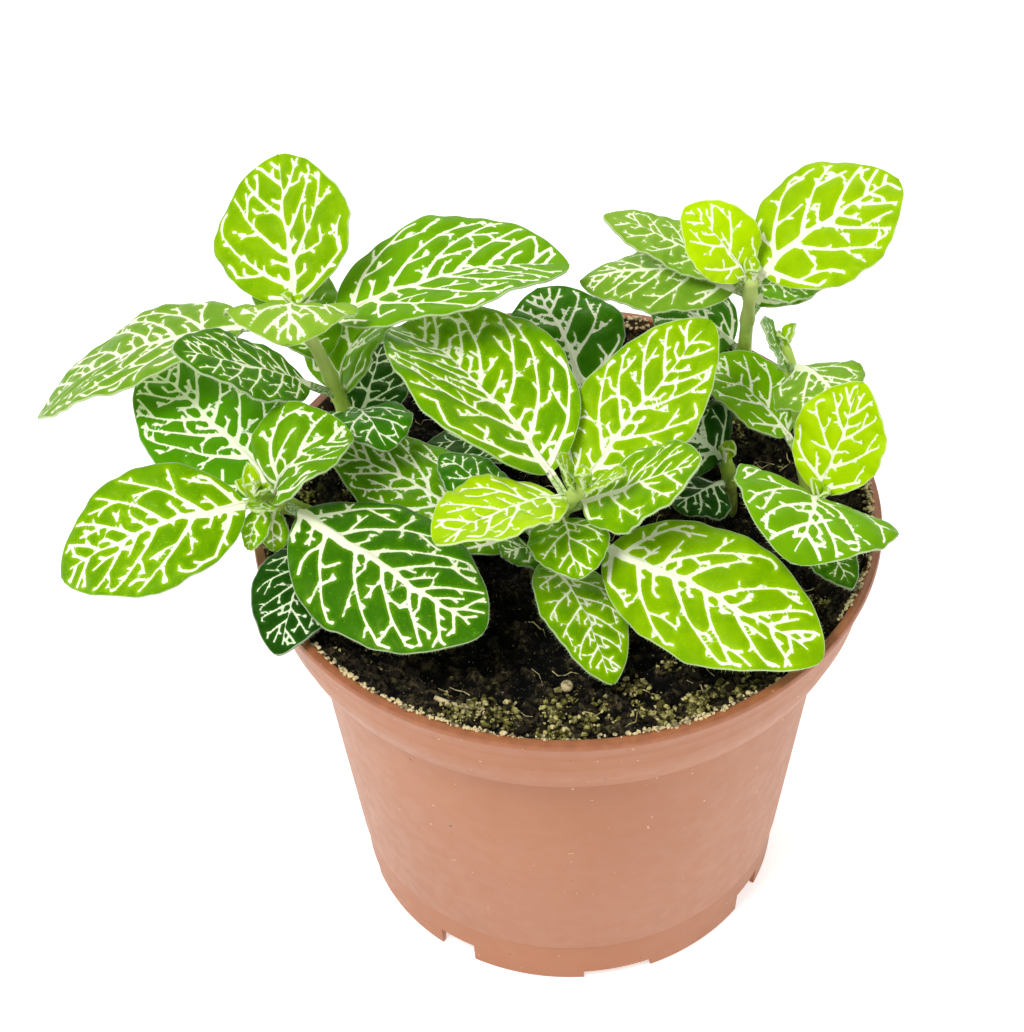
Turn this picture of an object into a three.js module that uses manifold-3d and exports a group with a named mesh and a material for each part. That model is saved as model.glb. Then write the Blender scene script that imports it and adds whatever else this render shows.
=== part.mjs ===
// A young nerve plant in a 12 cm nursery pot. Millimetres, +Z up, the foot's underside at zero height.
// Eight rooted shoots stand in holes in the soil. Each leaf is a blade on a short stalk, seated at its stem.
import * as THREE from 'three';
import { mergeVertices } from 'three/addons/utils/BufferGeometryUtils.js';
import Module from 'manifold-3d';

const wasm = await Module();
wasm.setup();

const degrees = Math.PI / 180;

// The plant leans out to the left, so the pot stands to the right of the middle of the whole
const potOffset = 20;

// Driving sizes of the pot
const potHeight = 92;
const rimRadius = 60;
const rimLip = 2.1;
const bandCrease = 80;
const bandCreaseRadius = 57.2;
const bandFoot = 76;
const bandFootRadius = 55.8;
const wallTop = 74;
const wallTopRadius = 51.5;
const footHeight = 12;
const footStepRadius = 44.7;
const footRadius = 43.5;
const wallThickness = 1.2;
const floorUnderside = 6;
const floorThickness = 1.4;
const potSides = 64;

// Drainage cuts: deep ones alternate with low wide ones round the foot, and round holes pierce the floor
const deepNotch = { first: 236, width: 8, height: 5 };
const lowNotch = { first: 281, width: 14, height: 2.2 };
const notchCount = 4;
const drainHoles = 6;
const drainRadius = 3.5;
const drainCircle = 28;

// Driving sizes of the soil and the shoots
const soilTop = 84;
const seat = 0.3;
const rootDepth = 7.5;
const stemSides = 8;
const stemFootRadius = 1.8;
const stemTaper = 0.6;
const stemSweep = 1.7;
const budLength = 3.5;

// Driving sizes that every leaf shares
const bladeThickness = 0.72;
const ribDepth = 0.45;
const leafGap = 0.6;
const stalkHalfWidth = 0.9;
const widest = 0.9;
const roundness = 0.62;
const marginCurl = 0.12;
const waveHeight = 0.6;
const wavesPerSide = 2.5;
const bladeStations = [0.04, 0.12, 0.24, 0.38, 0.52, 0.66, 0.79, 0.9, 0.97, 1];
const smallStations = [0.06, 0.22, 0.45, 0.7, 0.9, 1];
const acrossStations = [-1, -0.5, 0, 0.5, 1];

// Leaf colours, from the tip of a shoot down to its oldest pair
const leafColours = { young: '#a8d428', grown: '#6cab22', pale: '#9fc466', dark: '#2f7a26', old: '#1f5224' };

// A leaf: the height of its node, then where its tip lies seen from the node, as a heading from +X,
// a rise above level and a reach, then the blade's width. arch lifts the middle of the midrib and
// lean moves that lift towards the tip, roll turns the blade about its midrib, fold lifts both halves.
function leaf(node, heading, rise, reach, width, more) {
  const plain = { arch: 2, lean: 0, roll: 0, fold: 6, stalk: 0.1, colour: 'grown', small: false };
  return { ...plain, node, heading, rise, reach, width, ...more };
}

// A shoot: where its stem leaves the soil, its tip, and its leaves from the top pair down
const shoots = [
  {
    name: 'rear_left',
    foot: [-40, 17],
    top: [-49, 13, 131],
    leaves: [
      leaf(130, 97, 39, 31, 31, { arch: 0, roll: -35, fold: 13, stalk: 0.07, colour: 'young' }),
      leaf(130, 267, 23, 18, 24, { arch: 5, lean: 0.2, fold: 2, colour: 'pale' }),
      leaf(127, 170, -27, 62, 28, { arch: 6.3, lean: 0.1, roll: 6, fold: 8, stalk: 0.17, colour: 'pale' }),
      leaf(125, 11, 8, 50, 31, { arch: 5, roll: -3, fold: 18 }),
      leaf(109, 212, 39, 41.5, 17, { arch: 1, roll: -14, fold: 8, stalk: 0.18 }),
      leaf(104.5, 59, 32, 21, 23, { arch: 4.5, lean: -0.3, roll: -25, fold: 21 }),
      leaf(114, 112, 12, 34, 16, { stalk: 0.08 }),
      leaf(104, 297, 14, 20, 17, { arch: 3, roll: -10, fold: 10, stalk: 0.12, colour: 'dark' }),
      leaf(96, 74, 15, 23, 16, { arch: 1, fold: 4, colour: 'old' }),
    ],
  },
  {
    name: 'front_left',
    foot: [-44, 0],
    top: [-57, -11, 107],
    leaves: [
      leaf(105.5, 194, -13, 40, 25, { arch: 6, lean: 0.3, roll: -22, fold: 8, stalk: 0.08, colour: 'young' }),
      leaf(104, 17, 36, 19.5, 23, { arch: 5, lean: -0.3, roll: 5, fold: 29, stalk: 0.08 }),
      leaf(105, 258, 30, 9, 6, { arch: 0, fold: 12, stalk: 0.2, colour: 'young', small: true }),
      leaf(104, 231, -36, 10, 6, { arch: 1, fold: 10, colour: 'young', small: true }),
      leaf(103, 252, -58, 9, 6, { arch: 1, fold: 10, colour: 'young', small: true }),
      leaf(101, 131, 9, 44, 27, { arch: 3, roll: -8, fold: 5, stalk: 0.06, colour: 'dark' }),
      leaf(102.5, 317, -1, 50, 29.5, { arch: 1, roll: 10, fold: -8, stalk: 0.07 }),
      leaf(92, 259, 3, 37, 17, { stalk: 0.1, colour: 'old' }),
    ],
  },
  {
    name: 'centre',
    foot: [-6, -11],
    top: [2, -21, 117],
    leaves: [
      leaf(116, 180, 62, 9, 8, { arch: 0, fold: 20, colour: 'young', small: true }),
      leaf(115, 326, 42, 14, 7, { arch: 0, fold: 20, stalk: 0.14, colour: 'young', small: true }),
      leaf(112.5, 215, 11, 30, 21, { roll: 10, fold: 16, stalk: 0.06, colour: 'young' }),
      leaf(107.5, 340, 36, 32, 19.5, { arch: 0, roll: 8, fold: 3, stalk: 0.14, colour: 'young' }),
      leaf(111, 128, 11, 50, 35, { arch: 5, roll: 5, fold: 25, colour: 'young' }),
      leaf(107, 43, 28, 45, 23, { arch: 1, roll: 10, fold: 12, stalk: 0.06, colour: 'young' }),
      leaf(106, 279, 2, 18, 15, { fold: 8, colour: 'young' }),
      leaf(99, 324, 0, 58, 27, { arch: 5, roll: 15, stalk: 0.22, colour: 'young' }),
      leaf(93, 289, -3, 35, 16, { arch: 3, roll: -8, fold: 10, stalk: 0.08, colour: 'young' }),
      leaf(92, 210, 20, 9, 11, { arch: 1, fold: 8, small: true }),
      leaf(88.5, 154, 18, 46, 24, { fold: 8 }),
      leaf(95, 136, 13, 27, 12, { arch: 1, fold: 4, stalk: 0.3, colour: 'dark' }),
    ],
  },
  {
    name: 'rear_right',
    foot: [36, 31],
    top: [35.5, 20, 130],
    leaves: [
      leaf(129, 21, 26, 33, 27, { arch: 3, roll: 11, fold: 5, stalk: 0.06, colour: 'young' }),
      leaf(129, 152, 43, 19, 15, { arch: 3.5, roll: -32, fold: 17, stalk: 0.1, colour: 'young' }),
      leaf(125, 166, -4, 32.5, 18, { arch: 4, lean: 0.1, roll: -2, fold: -8, stalk: 0.06, colour: 'pale' }),
      leaf(126, 158, 19, 31, 13, { colour: 'pale' }),
      leaf(126, 356, 0, 12, 10, { arch: 1, fold: 12, stalk: 0.08 }),
      leaf(105, 152, 20, 21, 21, { fold: 5, colour: 'dark' }),
      leaf(117, 45, 11, 27, 19, { arch: 3, stalk: 0.08 }),
    ],
  },
  {
    name: 'back_right',
    foot: [47, 4],
    top: [43, 21, 112],
    leaves: [
      leaf(109.5, 296, 12, 19, 19, { arch: 3, roll: 6, fold: -6, stalk: 0.16, colour: 'pale' }),
      leaf(109.5, 192, 62, 14, 12, { arch: 0, roll: -10, fold: 12 }),
      leaf(94.5, 140, 26, 28, 18, { arch: 4, roll: 0, fold: 23, stalk: 0.2 }),
      leaf(96, 11, 23, 12, 14, { arch: 2, stalk: 0.12 }),
    ],
  },
  {
    name: 'right',
    foot: [42, -4],
    top: [45.5, -14, 105],
    leaves: [
      leaf(104, 52, 53, 24, 18.5, { arch: 0, fold: 11, stalk: 0.06, colour: 'young' }),
      leaf(102.5, 255, 23, 30, 31, { arch: 6, roll: -15, fold: 8, stalk: 0.06 }),
      leaf(92, 293, 5, 22, 10, {}),
    ],
  },
  {
    name: 'low_right',
    foot: [32, 7],
    top: [31, 6, 97],
    leaves: [
      leaf(95, 151, 38, 14, 21, { arch: 1, roll: -10, fold: 4, stalk: 0.14, colour: 'old' }),
      leaf(91, 219, 5, 14, 15, { arch: 1, fold: 4, stalk: 0.14, colour: 'old' }),
    ],
  },
  {
    name: 'low_back',
    foot: [8, 24],
    top: [6, 25, 97],
    leaves: [
      leaf(95, 111, 17, 30, 25, { roll: -8, fold: 4, stalk: 0.12, colour: 'dark' }),
      leaf(87.5, 187, 5, 35, 14, { arch: 1, fold: 4, colour: 'old' }),
      leaf(91.5, 135, 3, 38, 17, { colour: 'dark' }),
    ],
  },
];

// The stem's axis starts upright in the soil and sweeps towards its tip
function stemPoint(shoot, height) {
  const [footX, footY] = shoot.foot;
  const [topX, topY, topZ] = shoot.top;
  const part = Math.max(0, (height - soilTop) / (topZ - soilTop)) ** stemSweep;
  return new THREE.Vector3(footX + (topX - footX) * part, footY + (topY - footY) * part, height);
}

function stemRadius(shoot, height) {
  const part = Math.max(0, (height - soilTop) / (shoot.top[2] - soilTop));
  return stemFootRadius - stemTaper * part;
}

function meshFrom(name, geometry, colour, roughness) {
  const material = new THREE.MeshStandardMaterial({ color: colour, roughness, metalness: 0 });
  const mesh = new THREE.Mesh(geometry, material);
  mesh.name = name;
  return mesh;
}

function geometryFrom(points, triangles) {
  const geometry = new THREE.BufferGeometry();
  geometry.setAttribute('position', new THREE.Float32BufferAttribute(points.flatMap((p) => p.toArray()), 3));
  geometry.setIndex(triangles.flat());
  return geometry;
}

// Boolean cuts work on closed meshes whose shared vertices are merged
function toSolid(geometry) {
  const bare = geometry.clone();
  bare.deleteAttribute('normal');
  bare.deleteAttribute('uv');
  const merged = mergeVertices(bare, 1e-4);
  const vertProperties = merged.attributes.position.array;
  const triVerts = new Uint32Array(merged.index.array);
  return new wasm.Manifold(new wasm.Mesh({ numProp: 3, vertProperties, triVerts }));
}

function toGeometry(solid) {
  const { vertProperties, triVerts } = solid.getMesh();
  const geometry = new THREE.BufferGeometry();
  geometry.setAttribute('position', new THREE.BufferAttribute(vertProperties, 3));
  geometry.setIndex(new THREE.BufferAttribute(triVerts, 1));
  return geometry;
}

function turned(profile, sides) {
  const points = profile.map(([radius, height]) => new THREE.Vector2(radius, height));
  return new THREE.LatheGeometry(points, sides).rotateX(Math.PI / 2);
}

function notchCutter({ first, width, height }, index) {
  const angle = (first + (index * 360) / notchCount) * degrees;
  const box = new THREE.BoxGeometry(12, width, 2 * height);
  box.translate(footRadius, 0, 0).rotateZ(angle);
  return toSolid(box);
}

function pot() {
  const inner = (radius) => radius - wallThickness;
  const floorTop = floorUnderside + floorThickness;
  const profile = [
    [0, floorUnderside],
    [inner(footRadius), floorUnderside],
    [inner(footRadius), 0],
    [footRadius, 0],
    [footStepRadius - 0.6, footHeight - 0.6],
    [footStepRadius, footHeight],
    [wallTopRadius, wallTop],
    [bandFootRadius, bandFoot],
    [bandCreaseRadius, bandCrease],
    [rimRadius - 0.8, potHeight - 2],
    [rimRadius, potHeight - 1.4],
    [rimRadius, potHeight - 0.5],
    [rimRadius - 0.5, potHeight],
    [rimRadius - rimLip, potHeight],
    [inner(bandCreaseRadius), bandCrease],
    [inner(bandFootRadius), bandFoot + 0.8],
    [inner(wallTopRadius), wallTop + 0.8],
    [inner(footStepRadius), footHeight],
    [inner(footStepRadius) - 0.7, floorTop],
    [0, floorTop],
  ];
  let solid = toSolid(turned(profile, potSides));
  for (let i = 0; i < notchCount; i += 1) {
    solid = solid.subtract(notchCutter(deepNotch, i)).subtract(notchCutter(lowNotch, i));
  }
  for (let i = 0; i < drainHoles; i += 1) {
    const hole = new THREE.CylinderGeometry(drainRadius, drainRadius, 6, 10).rotateX(Math.PI / 2);
    hole.translate(drainCircle, 0, floorUnderside).rotateZ((i * 2 * Math.PI) / drainHoles);
    solid = solid.subtract(toSolid(hole));
  }
  return meshFrom('pot', toGeometry(solid), '#c98c6f', 0.45);
}

// The soil surface rolls gently, with smaller lumps on it
function soilHeight(x, y) {
  const swell = 0.7 * Math.sin(0.11 * x + 0.5) * Math.cos(0.13 * y - 0.4);
  const lumps = 0.5 * Math.sin(0.42 * x + 0.35 * y) * Math.cos(0.38 * y - 0.21 * x);
  return swell + lumps;
}

function soil() {
  const inner = (radius) => radius - wallThickness - seat;
  const bottom = floorUnderside + floorThickness + seat;
  const surface = [55.5, 51, 46, 40, 34, 28, 22, 15, 8];
  const profile = [
    [0, bottom],
    [inner(footStepRadius) - 1, bottom],
    [inner(footStepRadius), footHeight + 0.3],
    [inner(wallTopRadius), wallTop + 1],
    [inner(bandFootRadius), bandFoot + 1.2],
    [inner(bandCreaseRadius), bandCrease],
    [inner(bandCreaseRadius) + 0.6, soilTop + 1],
    ...surface.map((radius) => [radius, soilTop]),
    [0, soilTop],
  ];
  const ground = turned(profile, 40);
  const position = ground.attributes.position;
  for (let i = 0; i < position.count; i += 1) {
    const onTop = Math.abs(position.getZ(i) - soilTop) < 0.01;
    if (onTop) position.setZ(i, soilTop + soilHeight(position.getX(i), position.getY(i)));
  }
  let solid = toSolid(ground);
  for (const { foot } of shoots) {
    const radius = stemFootRadius + seat + 0.1;
    const hole = new THREE.CylinderGeometry(radius, radius, 2 * rootDepth, 12).rotateX(Math.PI / 2);
    hole.translate(foot[0], foot[1], soilTop - seat);
    solid = solid.subtract(toSolid(hole));
  }
  return meshFrom('soil', toGeometry(solid), '#2b241c', 0.95);
}

// A stem is a loft of rings from its root to the pointed bud of folded tip leaves
function stem(shoot) {
  const top = shoot.top[2];
  const rings = [];
  const steps = 7;
  rings.push([soilTop - rootDepth, stemFootRadius]);
  for (let i = 0; i <= steps; i += 1) {
    const height = soilTop + ((top - soilTop) * i) / steps;
    rings.push([height, stemRadius(shoot, height)]);
  }
  rings.push([top + budLength * 0.4, 1], [top + budLength * 0.8, 0.6], [top + budLength, 0.2]);
  const points = [];
  const triangles = [];
  for (const [height, radius] of rings) {
    const centre = stemPoint(shoot, height);
    for (let k = 0; k < stemSides; k += 1) {
      const angle = (k * 2 * Math.PI) / stemSides;
      points.push(new THREE.Vector3(radius * Math.cos(angle), radius * Math.sin(angle), 0).add(centre));
    }
  }
  const last = (rings.length - 1) * stemSides;
  for (let start = 0; start < last; start += stemSides) {
    for (let k = 0; k < stemSides; k += 1) {
      const next = (k + 1) % stemSides;
      triangles.push([start + k, start + next, start + stemSides + next]);
      triangles.push([start + k, start + stemSides + next, start + stemSides + k]);
    }
  }
  for (let k = 1; k < stemSides - 1; k += 1) {
    triangles.push([0, k + 1, k], [last, last + k, last + k + 1]);
  }
  return meshFrom(`${shoot.name}_stem`, geometryFrom(points, triangles), '#c9cf8e', 0.6);
}

// The leaf's own directions: forward along its chord, up out of its upper face, side to its right
function leafFrame(shoot, spec) {
  const heading = spec.heading * degrees;
  const rise = spec.rise * degrees;
  const node = stemPoint(shoot, spec.node);
  const out = new THREE.Vector3(Math.cos(heading), Math.sin(heading), 0);
  const tip = node.clone().addScaledVector(out, spec.reach * Math.cos(rise));
  tip.z += spec.reach * Math.sin(rise);
  const root = node.addScaledVector(out, stemRadius(shoot, spec.node) + leafGap);
  const length = root.distanceTo(tip);
  const forward = tip.clone().sub(root).normalize();
  const level = new THREE.Vector3(0, 0, 1).addScaledVector(forward, -forward.z).normalize();
  const across = forward.clone().cross(level);
  const roll = spec.roll * degrees;
  const up = level.clone().multiplyScalar(Math.cos(roll)).addScaledVector(across, Math.sin(roll));
  const side = across.multiplyScalar(Math.cos(roll)).addScaledVector(level, -Math.sin(roll));
  return { root, length, forward, up, side };
}

function midrib(frame, spec, t) {
  const lift = 4 * spec.arch * t * (1 - t) * (1 + spec.lean * (2 * t - 1));
  return frame.root.clone().addScaledVector(frame.forward, frame.length * t).addScaledVector(frame.up, lift);
}

function halfWidth(spec, blade) {
  if (blade <= 0) return stalkHalfWidth;
  if (blade >= 1) return 0.3;
  const oval = Math.sin(Math.PI * blade ** widest) ** roundness;
  return Math.max(stalkHalfWidth * (1 - blade), (spec.width / 2) * oval);
}

// Out from the midrib the blade first rises by its fold, then curls down, with a wave along its edge
function bladeLift(spec, blade, across, width, phase) {
  const distance = Math.abs(across) * width;
  const valley = Math.sin(spec.fold * degrees) * distance;
  const curl = (marginCurl * distance * distance) / (spec.width / 2);
  if (blade <= 0 || blade >= 1) return valley - curl;
  const turns = wavesPerSide * blade + phase + (across > 0 ? 0.3 : 0);
  const wave = waveHeight * across * across * Math.sin(2 * Math.PI * turns) * Math.sqrt(Math.sin(Math.PI * blade));
  return valley - curl + wave * Math.min(1, spec.width / 20);
}

function leafMesh(shoot, spec, index) {
  const frame = leafFrame(shoot, spec);
  const stations = spec.small ? smallStations : bladeStations;
  const stalkStations = spec.stalk > 0.12 ? [0, 0.5 * spec.stalk, spec.stalk] : [0, spec.stalk];
  const alongs = [...stalkStations, ...stations.map((b) => spec.stalk + (1 - spec.stalk) * b)];
  const phase = (index * 0.37) % 1;
  const points = [];
  for (const t of alongs) {
    const blade = (t - spec.stalk) / (1 - spec.stalk);
    const centre = midrib(frame, spec, t);
    const ahead = midrib(frame, spec, t + 0.001).sub(centre).normalize();
    const normal = frame.up.clone().addScaledVector(ahead, -frame.up.dot(ahead)).normalize();
    const width = halfWidth(spec, blade);
    for (const across of acrossStations) {
      const lift = bladeLift(spec, blade, across, width, phase);
      const spread = across * width * Math.cos(spec.fold * degrees);
      const middle = centre.clone().addScaledVector(frame.side, spread).addScaledVector(normal, lift);
      const rib = ribDepth * (1 - Math.abs(across)) ** 2 * Math.min(1, width / 3);
      points.push(middle.clone().addScaledVector(normal, bladeThickness / 2));
      points.push(middle.clone().addScaledVector(normal, -bladeThickness / 2 - rib));
    }
  }
  return geometryFrom(points, leafTriangles(alongs.length, acrossStations.length));
}

// Upper and lower faces are split along the same diagonals, with walls round the edge
function leafTriangles(rows, columns) {
  const top = (i, j) => 2 * (i * columns + j);
  const under = (i, j) => top(i, j) + 1;
  const triangles = [];
  for (let i = 0; i < rows - 1; i += 1) {
    for (let j = 0; j < columns - 1; j += 1) {
      triangles.push([top(i, j), top(i + 1, j + 1), top(i + 1, j)]);
      triangles.push([top(i, j), top(i, j + 1), top(i + 1, j + 1)]);
      triangles.push([under(i, j), under(i + 1, j), under(i + 1, j + 1)]);
      triangles.push([under(i, j), under(i + 1, j + 1), under(i, j + 1)]);
    }
    const right = columns - 1;
    triangles.push([top(i, 0), top(i + 1, 0), under(i + 1, 0)], [top(i, 0), under(i + 1, 0), under(i, 0)]);
    triangles.push([top(i, right), under(i + 1, right), top(i + 1, right)]);
    triangles.push([top(i, right), under(i, right), under(i + 1, right)]);
  }
  const end = rows - 1;
  for (let j = 0; j < columns - 1; j += 1) {
    triangles.push([top(0, j), under(0, j), under(0, j + 1)], [top(0, j), under(0, j + 1), top(0, j + 1)]);
    triangles.push([top(end, j), under(end, j + 1), under(end, j)]);
    triangles.push([top(end, j), top(end, j + 1), under(end, j + 1)]);
  }
  return triangles;
}

const plant = new THREE.Group();
plant.position.x = potOffset;
plant.add(pot(), soil());
let leafIndex = 0;
for (const shoot of shoots) {
  plant.add(stem(shoot));
  shoot.leaves.forEach((spec, i) => {
    const geometry = leafMesh(shoot, spec, leafIndex);
    plant.add(meshFrom(`${shoot.name}_leaf_${i + 1}`, geometry, leafColours[spec.colour], 0.5));
    leafIndex += 1;
  });
}

const pottedPlant = new THREE.Group();
pottedPlant.add(plant);

export default pottedPlant;
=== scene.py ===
# %% [markdown]
# # A potted nerve plant
# A nerve plant is a low creeping plant whose green leaves carry a bright net of cream veins. This one
# grows as eight rooted cuttings in a thin plastic nursery pot. The lesson builds the pot, the soil, the
# stems and every leaf as meshes in metres, and colours them with procedural materials only.

import math

import bmesh
import bpy
import numpy as np
from mathutils import Matrix, Vector, noise


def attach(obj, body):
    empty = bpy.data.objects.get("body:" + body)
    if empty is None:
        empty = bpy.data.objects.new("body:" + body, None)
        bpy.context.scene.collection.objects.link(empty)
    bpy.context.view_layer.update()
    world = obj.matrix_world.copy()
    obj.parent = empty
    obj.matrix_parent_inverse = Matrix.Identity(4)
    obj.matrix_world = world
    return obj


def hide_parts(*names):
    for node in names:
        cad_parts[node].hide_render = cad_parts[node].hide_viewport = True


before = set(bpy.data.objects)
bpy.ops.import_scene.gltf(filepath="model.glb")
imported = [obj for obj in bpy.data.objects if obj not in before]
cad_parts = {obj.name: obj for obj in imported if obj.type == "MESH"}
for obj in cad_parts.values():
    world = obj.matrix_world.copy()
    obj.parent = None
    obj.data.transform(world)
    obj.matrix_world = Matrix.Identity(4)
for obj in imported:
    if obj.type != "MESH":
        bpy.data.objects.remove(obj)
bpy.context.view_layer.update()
MM = 0.001
POT_OFFSET = 20.0  # the pot's axis stands this many millimetres along x, so that the plant is centred
RIM_TOP = 92.0

# %% [markdown]
# ## Helpers for nodes and colours
# Colours are picked as sRGB hex values, because that is how a colour is read off a screen, and one
# function turns them to linear light. A second one adds a shader node with its settings and links, so
# that each material reads as a short list.

# %% Colour and node helpers
def linear(hex_colour):
    parts = [int(hex_colour[i : i + 2], 16) / 255 for i in (1, 3, 5)]
    return [c / 12.92 if c <= 0.04045 else ((c + 0.055) / 1.055) ** 2.4 for c in parts] + [1.0]


def add(tree, kind, inputs=None, **settings):
    node = tree.nodes.new(kind)
    for key, value in settings.items():
        setattr(node, key, value)
    for key, value in (inputs or {}).items():
        if isinstance(value, bpy.types.NodeSocket):
            tree.links.new(value, node.inputs[key])
        else:
            node.inputs[key].default_value = value
    return node


def new_material(name, **shader_values):
    material = bpy.data.materials.new(name)
    material.use_nodes = True
    tree = material.node_tree
    shader = tree.nodes["Principled BSDF"]
    for key, value in shader_values.items():
        shader.inputs[key.replace("_", " ")].default_value = value
    return material, tree, shader


def own_place(tree):
    return add(tree, "ShaderNodeTexCoord").outputs["Object"]


def grains(tree, size_mm, detail=2.0, roughness=0.5):
    """Noise whose lumps are about size_mm across, on the object's own coordinates."""
    values = {"Scale": 1 / (size_mm * MM), "Detail": detail, "Roughness": roughness}
    return add(tree, "ShaderNodeTexNoise", {"Vector": own_place(tree), **values}).outputs["Fac"]


def blend(tree, factor, a, b):
    """Colour a where the factor is 0, colour b where it is 1."""
    mix = add(tree, "ShaderNodeMix", data_type="RGBA")
    for socket, value in ((mix.inputs[0], factor), (mix.inputs[6], a), (mix.inputs[7], b)):
        if isinstance(value, bpy.types.NodeSocket):
            tree.links.new(value, socket)
        else:
            socket.default_value = value
    return mix.outputs[2]


def ramp(tree, value, low, high, to_low=0.0, to_high=1.0, smooth=True):
    """Turn the span from low to high into the span from to_low to to_high."""
    node = add(tree, "ShaderNodeMapRange", {"Value": value, 1: low, 2: high, 3: to_low, 4: to_high})
    node.interpolation_type = "SMOOTHSTEP" if smooth else "LINEAR"
    return node.outputs["Result"]


def stored(tree, name):
    """A value that the mesh keeps on each vertex."""
    return add(tree, "ShaderNodeAttribute", attribute_name=name).outputs["Fac"]


def times(tree, a, b):
    return add(tree, "ShaderNodeMath", {0: a, 1: b}, operation="MULTIPLY").outputs[0]


def bump(tree, shader, height, depth_mm, strength=1.0):
    node = add(tree, "ShaderNodeBump", {"Height": height, "Strength": strength, "Distance": depth_mm * MM})
    tree.links.new(node.outputs["Normal"], shader.inputs["Normal"])


print("helpers ready")

# %% [markdown]
# ## Helpers for pieces
# Each finished piece is an object at the origin that rides the one rigid body, stands for its solid
# node and names the material slot it belongs to. Shading is smooth except over sharp corners.

# %% Piece helpers
def mesh_from(name, bm):
    mesh = bpy.data.meshes.new(name)
    bm.to_mesh(mesh)
    bm.free()
    return mesh


def into_scene(name, data):
    item = bpy.data.objects.new(name, data)
    bpy.context.scene.collection.objects.link(item)
    return item


def finish_piece(name, bm, material, nodes=(), sharp=None):
    return finish_mesh(name, mesh_from(name, bm), material, nodes, sharp)


def finish_mesh(name, mesh, material, nodes=(), sharp=None):
    mesh.materials.append(material)
    mesh.shade_smooth()
    if sharp is not None:
        mesh.set_sharp_from_angle(angle=math.radians(sharp))
    piece = into_scene(name, mesh)
    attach(piece, "root")
    if nodes:
        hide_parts(*nodes)
    return piece


def vertex_places(mesh):
    places = np.empty(len(mesh.vertices) * 3)
    mesh.vertices.foreach_get("co", places)
    return places.reshape(-1, 3)


def store(mesh, name, values):
    attribute = mesh.attributes.new(name, "FLOAT", "POINT")
    attribute.data.foreach_set("value", np.asarray(values, dtype=np.float32))


def polar(radius, angle):
    return radius * math.cos(angle), radius * math.sin(angle)


def from_axis(x, y, z):
    """Move by millimetres that are measured from the pot's axis."""
    return Matrix.Translation(((x + POT_OFFSET) * MM, y * MM, z * MM))


def facing(direction):
    """Turn the z axis to a direction."""
    return Vector((0, 0, 1)).rotation_difference(direction).to_matrix().to_4x4()


def spun(profile_mm, steps):
    """A closed shell of revolution about the pot's axis, from (radius, height) pairs in millimetres."""
    bm = bmesh.new()
    line = [bm.verts.new((r * MM, 0, z * MM)) for r, z in profile_mm]
    edges = [bm.edges.new(pair) for pair in zip(line, line[1:])]
    geometry = line + edges
    bmesh.ops.spin(
        bm, geom=geometry, cent=(0, 0, 0), axis=(0, 0, 1), angle=2 * math.pi, steps=steps, use_merge=True
    )
    bmesh.ops.remove_doubles(bm, verts=bm.verts, dist=1e-6)
    bmesh.ops.recalc_face_normals(bm, faces=bm.faces)
    bmesh.ops.translate(bm, verts=bm.verts, vec=(POT_OFFSET * MM, 0, 0))
    return bm


print("piece helpers ready")

# %% [markdown]
# ## Pot
# The real pot is injection-moulded polypropylene about a millimetre thick. A turned profile gives its
# wall, band, crease and lip. Real moulded edges are never knife sharp, so the profile rounds the lip
# and the crease itself, which costs less than a bevel on the whole shell.

# %% Pot shell
pot_profile = [
    (0, 6), (41.9, 6), (42.2, 5.4), (42.3, 0.3), (42.6, 0), (43.2, 0), (43.5, 0.3), (44.1, 11.2),
    (44.35, 11.5), (44.7, 12.1), (51.4, 73.8), (51.8, 74.2), (55.4, 75.7), (55.8, 76.1), (57.05, 79.6),
    (57.35, 80.2), (57.79, 82.7), (57.87, 83.0), (57.89, 83.3), (58.43, 86.3), (58.51, 86.6),
    (58.53, 86.9), (59.0, 89.6), (59.6, 90.3), (60, 90.8), (60, 91.5), (59.8, 91.9), (59.4, 92),
    (58.5, 92), (58.1, 91.85), (57.9, 91.5), (56.05, 80), (54.8, 77.2), (54.3, 76.7), (50.6, 75),
    (50.2, 74.5), (43.6, 12.2), (43.0, 8.0), (42.4, 7.4), (0, 7.4),
]
pot_bm = spun(pot_profile, 180)
print("pot shell faces:", len(pot_bm.faces))

# %% [markdown]
# Water leaves through six round holes in the raised floor, and runs out under the foot ring through
# deep slots and low wide ones. Boxes and cylinders are subtracted in one boolean, because the cuts do
# not touch each other.

# %% Drainage cuts
FOOT_RADIUS, HOLE_CIRCLE = 43.5, 28  # where the slots and the centres of the holes lie
cuts = bmesh.new()
slots = [(236 + 90 * i, 8.0, 5.0) for i in range(4)] + [(281 + 90 * i, 14.0, 2.2) for i in range(4)]
for angle, width, height in slots:
    size = Matrix.Diagonal((12 * MM, width * MM, 2 * height * MM, 1))
    spot = Matrix.Rotation(math.radians(angle), 4, "Z") @ Matrix.Translation((FOOT_RADIUS * MM, 0, 0))
    bmesh.ops.create_cube(cuts, size=1, matrix=from_axis(0, 0, 0) @ spot @ size)
for i in range(6):
    turn = Matrix.Rotation(math.radians(60 * i), 4, "Z")
    spot = turn @ Matrix.Translation((HOLE_CIRCLE * MM, 0, 6.7 * MM))
    bmesh.ops.create_cone(
        cuts, cap_ends=True, segments=28, radius1=3.5 * MM, radius2=3.5 * MM, depth=6 * MM,
        matrix=from_axis(0, 0, 0) @ spot,
    )


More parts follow.
